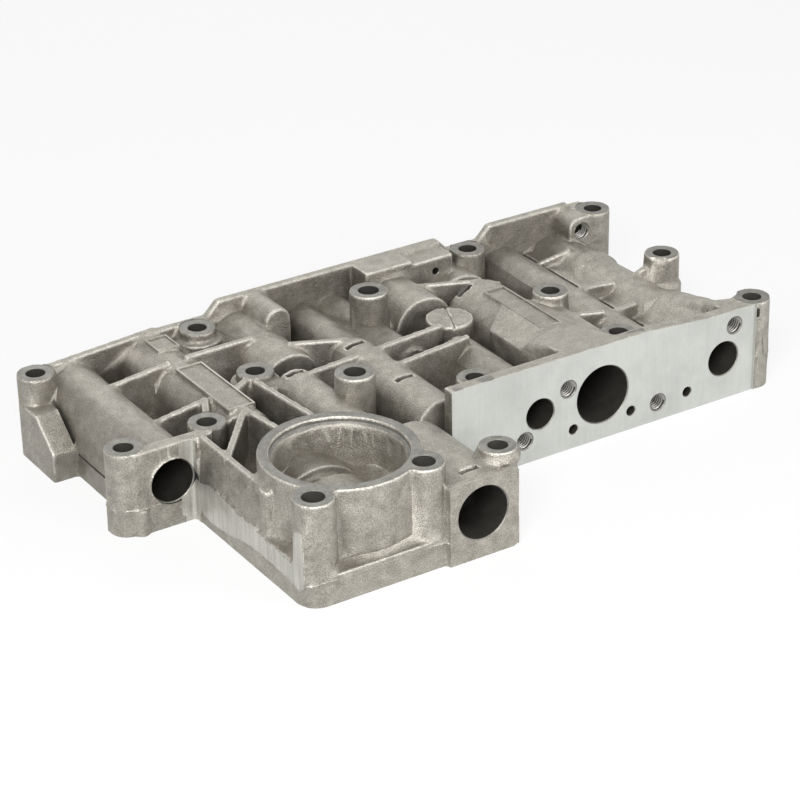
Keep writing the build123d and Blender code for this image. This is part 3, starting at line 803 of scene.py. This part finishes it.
def paint_wear_and_shade(mesh):
    """Store how sharply each point stands out, and how open it lies, which sets the painted shade in the
    pockets, the bores and on the back walls.
    """
    points, normals, edges = read_points(mesh)
    _, y, z = (points / MM).T
    worn = np.clip(convexity(points, normals, edges) / WORN_BEND, 0, 1)
    # Nothing rubs the foot of the walls or the machined faces
    worn *= np.clip((z - WORN_FROM) / WORN_FROM, 0, 1)
    machined = [index for face in mesh.polygons if face.material_index != CAST for index in face.vertices]
    worn[machined] = 0.0
    worn[y < PLATE_FACE + NEAR] = 0.0
    # Rays go out mostly upwards and sideways, past the floor
    tree = BVHTree.FromPolygons(points.tolist(), [tuple(face.vertices) for face in mesh.polygons])
    rays = np.random.default_rng(RAY_SEED).normal(size=(RAYS, 3))
    rays /= np.linalg.norm(rays, axis=1)[:, None]
    rays[:, 2] = np.where(rays[:, 2] < LOWEST_RAY, -rays[:, 2], rays[:, 2])
    clear, tried = np.zeros(len(points)), np.zeros(len(points))
    starts = points + normals * RAY_LIFT * MM
    for ray in rays:
        way = Vector(ray.tolist())
        facing = np.nonzero(normals @ ray > GRAZING)[0]
        tried[facing] += 1.0
        for index, start in zip(facing.tolist(), starts[facing].tolist()):
            if tree.ray_cast(start, way, RAY_REACH * MM)[0] is None:
                clear[index] += 1.0
    # Painted shade: steep walls at the back count as less open than the front, so they darken more
    start, length = BACK_SHADE
    back = np.clip((y - start) / length, 0, 1) * (1.0 - np.clip(normals[:, 2], 0, 1))
    seen = (clear + 0.5) / (tried + 1.0) * (1.0 - 0.5 * back)
    around = Neighbours(edges, len(points))
    for _ in range(2):
        seen = (seen + around.total(seen)) / (around.degree + 1)
    for name, values in (("worn", worn), ("open_sky", seen)):
        layer = mesh.attributes.new(name, "FLOAT", "POINT")
        layer.data.foreach_set("value", values.astype(np.float32))


# Threads of the tapped holes

class ThreadSettings(bpy.types.PropertyGroup):
    """Sizes of the threads."""

    pitch: FloatProperty(name="Pitch", description="Distance between turns", default=0.001,
                         min=0.0003, max=0.003, unit="LENGTH", precision=5)
    tooth: FloatProperty(name="Tooth", description="Half height of a thread's ridge", default=0.0004,
                         min=0.0001, max=0.001, unit="LENGTH", precision=5)


def thread_tree():
    """A ridge wound inside each hole: one turned strip on every point of the mesh."""
    tree = bpy.data.node_groups.new("thread_turns", "GeometryNodeTree")
    tree.interface.new_socket("Holes", in_out="INPUT", socket_type="NodeSocketGeometry")
    for name in ("Turns", "Pitch", "Radius", "Tooth"):
        tree.interface.new_socket(name, in_out="INPUT", socket_type="NodeSocketFloat")
    tree.interface.new_socket("Finish", in_out="INPUT", socket_type="NodeSocketMaterial")
    tree.interface.new_socket("Threads", in_out="OUTPUT", socket_type="NodeSocketGeometry")
    g = Graph(tree)
    given = g.add("NodeGroupInput").outputs
    height = g.math("MULTIPLY", given["Turns"], given["Pitch"])
    helix = g.add("GeometryNodeCurveSpiral", {
        "Resolution": 30, "Rotations": given["Turns"], "Start Radius": given["Radius"],
        "End Radius": given["Radius"], "Height": height,
    })
    upright = g.add("GeometryNodeSetCurveNormal", {"Curve": helix.outputs[0]}, mode="Z_UP")
    ridge = g.add("GeometryNodeCurvePrimitiveCircle", {"Resolution": 3, "Radius": given["Tooth"]})
    strip = g.add("GeometryNodeCurveToMesh", {
        "Curve": upright.outputs[0], "Profile Curve": ridge.outputs[0], "Fill Caps": True,
    })
    spread = g.add("GeometryNodeInstanceOnPoints", {
        "Points": given["Holes"], "Instance": strip.outputs[0], "Rotation": (math.radians(-90), 0, 0),
    })
    real = g.add("GeometryNodeRealizeInstances", {"Geometry": spread.outputs[0]})
    finished = g.add("GeometryNodeSetMaterial", {"Geometry": real.outputs[0], "Material": given["Finish"]})
    out = g.add("NodeGroupOutput")
    g.feed(out.inputs[0], finished.outputs[0])
    return tree


class VALVEBODY_OT_threads(bpy.types.Operator):
    """Wind the threads inside the tapped holes"""

    bl_idname = "valve_body.threads"
    bl_label = "Threads"

    def execute(self, context):
        sizes, finish = context.scene.valve_body_threads, context.scene.valve_body_finish
        tree = thread_tree()
        sockets = {item.name: item.identifier for item in tree.interface.items_tree
                   if item.in_out == "INPUT"}
        metal = machined_material("thread", finish.thread, FINE_MARKS, 0.05, 0.35)
        for name, front in (("side_threads", SIDE_FACE), ("lug_threads", LUG_FACE)):
            holes = [hole for hole in TAPPED if hole[2] == front]
            depth = holes[0][3]
            points = bpy.data.meshes.new(name)
            points.from_pydata([Vector((x, y + THREAD_START, z)) * MM for x, z, y, _ in holes], [], [])
            thing = linked(name, points)
            wind = thing.modifiers.new("wind", "NODES")
            wind.node_group = tree
            values = {
                "Turns": (depth - THREAD_SHORT) * MM / sizes.pitch, "Pitch": sizes.pitch,
                "Radius": TAPPED_RADIUS * MM, "Tooth": sizes.tooth, "Finish": metal,
            }
            for key, value in values.items():
                wind[sockets[key]] = value
            frozen(thing)
            thing.data.shade_smooth()
            thing.data.set_sharp_from_angle(angle=SHARP_ANGLE)
            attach(thing, BODY)
        return {"FINISHED"}


# The stage

class StageSettings(bpy.types.PropertyGroup):
    """Camera and light."""

    lens: FloatProperty(name="Lens", description="Focal length of the camera", default=123.75, min=10,
                        unit="CAMERA")
    yaw: FloatProperty(name="Yaw", description="Turn of the camera from +Y towards +X",
                       default=math.radians(32.19), subtype="ANGLE")
    pitch: FloatProperty(name="Pitch", description="Downward tilt of the camera",
                         default=math.radians(27.42), subtype="ANGLE")
    roll: FloatProperty(name="Roll", description="Roll of the camera", default=math.radians(-1.0),
                        subtype="ANGLE")
    daylight: FloatProperty(name="Daylight", description="Strength of the soft white surround",
                            default=0.33, min=0)
    key: FloatProperty(name="Key light", description="Power of the main soft box", default=7.0, min=0,
                       unit="POWER")


def seen_directly(g):
    """1 for the camera and for mirror and glass rays, else 0."""
    path = g.add("ShaderNodeLightPath").outputs
    seen = g.math("MAXIMUM", path["Is Camera Ray"], path["Is Glossy Ray"])
    return g.math("MAXIMUM", seen, path["Is Transmission Ray"])


class VALVEBODY_OT_stage(bpy.types.Operator):
    """Make the floor, the lamps, the surround and the camera"""

    bl_idname = "valve_body.stage"
    bl_label = "Stage"

    def execute(self, context):
        scene, stage = context.scene, context.scene.valve_body_stage
        bm = bmesh.new()
        bmesh.ops.create_grid(bm, x_segments=1, y_segments=1, size=FLOOR_SIZE)
        floor = linked("floor", mesh_from(bm, "floor"))
        material, g = fresh_material("floor")
        matt = g.add("ShaderNodeBsdfDiffuse", {"Color": (0.93, 0.93, 0.93)})
        white = g.add("ShaderNodeEmission", {"Color": (1, 1, 1), "Strength": 1.0})
        share = g.math("MULTIPLY", seen_directly(g), FLOOR_WHITE)
        blend = g.add("ShaderNodeMixShader", {"Fac": share})
        g.feed(blend.inputs[1], matt.outputs["BSDF"])
        g.feed(blend.inputs[2], white.outputs["Emission"])
        out = g.add("ShaderNodeOutputMaterial")
        g.feed(out.inputs["Surface"], blend.outputs["Shader"])
        floor.data.materials.append(material)
        world = bpy.data.worlds.new("surround")
        scene.world = world
        world.use_nodes = True
        world.node_tree.nodes.clear()
        g = Graph(world.node_tree)
        strength = g.steps(seen_directly(g), 0.0, 1.0, stage.daylight, 1.0)
        sky = g.add("ShaderNodeBackground", {"Color": (1, 1, 1), "Strength": strength})
        out = g.add("ShaderNodeOutputWorld")
        g.feed(out.inputs["Surface"], sky.outputs["Background"])
        for name, place, size, share in LAMPS:
            lamp = bpy.data.lights.new(name, "AREA")
            lamp.shape = "SQUARE"
            lamp.size = size
            lamp.energy = stage.key * share
            thing = bpy.data.objects.new(name, lamp)
            scene.collection.objects.link(thing)
            thing.location = place
            thing.rotation_euler = (LAMP_TARGET - Vector(place)).to_track_quat("-Z", "Y").to_euler()
        camera = bpy.data.cameras.new("photo_view")
        camera.lens = stage.lens
        camera.sensor_width = 36.0
        camera.sensor_fit = "HORIZONTAL"
        camera.clip_start, camera.clip_end = 0.01, 20.0
        eye = bpy.data.objects.new("photo_view", camera)
        scene.collection.objects.link(eye)
        ahead = Vector((math.sin(stage.yaw) * math.cos(stage.pitch),
                        math.cos(stage.yaw) * math.cos(stage.pitch), -math.sin(stage.pitch)))
        right = Vector((math.cos(stage.yaw), -math.sin(stage.yaw), 0.0))
        up = right.cross(ahead)
        level = right * math.cos(stage.roll) + up * math.sin(stage.roll)
        upright = up * math.cos(stage.roll) - right * math.sin(stage.roll)
        turn = Matrix((level, upright, -ahead)).transposed().to_4x4()
        eye.matrix_world = Matrix.Translation(EYE) @ turn
        scene.camera = eye
        scene.view_settings.view_transform = "Standard"
        return {"FINISHED"}


class VALVEBODY_PT_sidebar(bpy.types.Panel):
    """Settings and buttons of the valve body"""

    bl_idname = "VALVEBODY_PT_sidebar"
    bl_label = "Valve body"
    bl_space_type = "VIEW_3D"
    bl_region_type = "UI"
    bl_category = "Valve body"

    def draw(self, context):
        for group in SETTINGS:
            values = getattr(context.scene, group)
            column = self.layout.column(align=True)
            for key in values.__annotations__:
                column.prop(values, key)
        for maker in OPERATORS:
            self.layout.operator(maker.bl_idname)


SETTINGS = {
    "valve_body_casting": CastingSettings,
    "valve_body_finish": FinishSettings,
    "valve_body_threads": ThreadSettings,
    "valve_body_stage": StageSettings,
}
OPERATORS = [VALVEBODY_OT_casting, VALVEBODY_OT_threads, VALVEBODY_OT_stage]
CLASSES = [*SETTINGS.values(), *OPERATORS, VALVEBODY_PT_sidebar]


def register():
    for kind in CLASSES:
        bpy.utils.register_class(kind)
    for name, group in SETTINGS.items():
        setattr(bpy.types.Scene, name, PointerProperty(type=group))


def unregister():
    for name in SETTINGS:
        delattr(bpy.types.Scene, name)
    for kind in reversed(CLASSES):
        bpy.utils.unregister_class(kind)


def main():
    """Make every piece."""
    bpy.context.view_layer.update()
    register()
    bpy.ops.valve_body.casting()
    bpy.ops.valve_body.threads()
    bpy.ops.valve_body.stage()


if __name__ == "__main__":
    main()
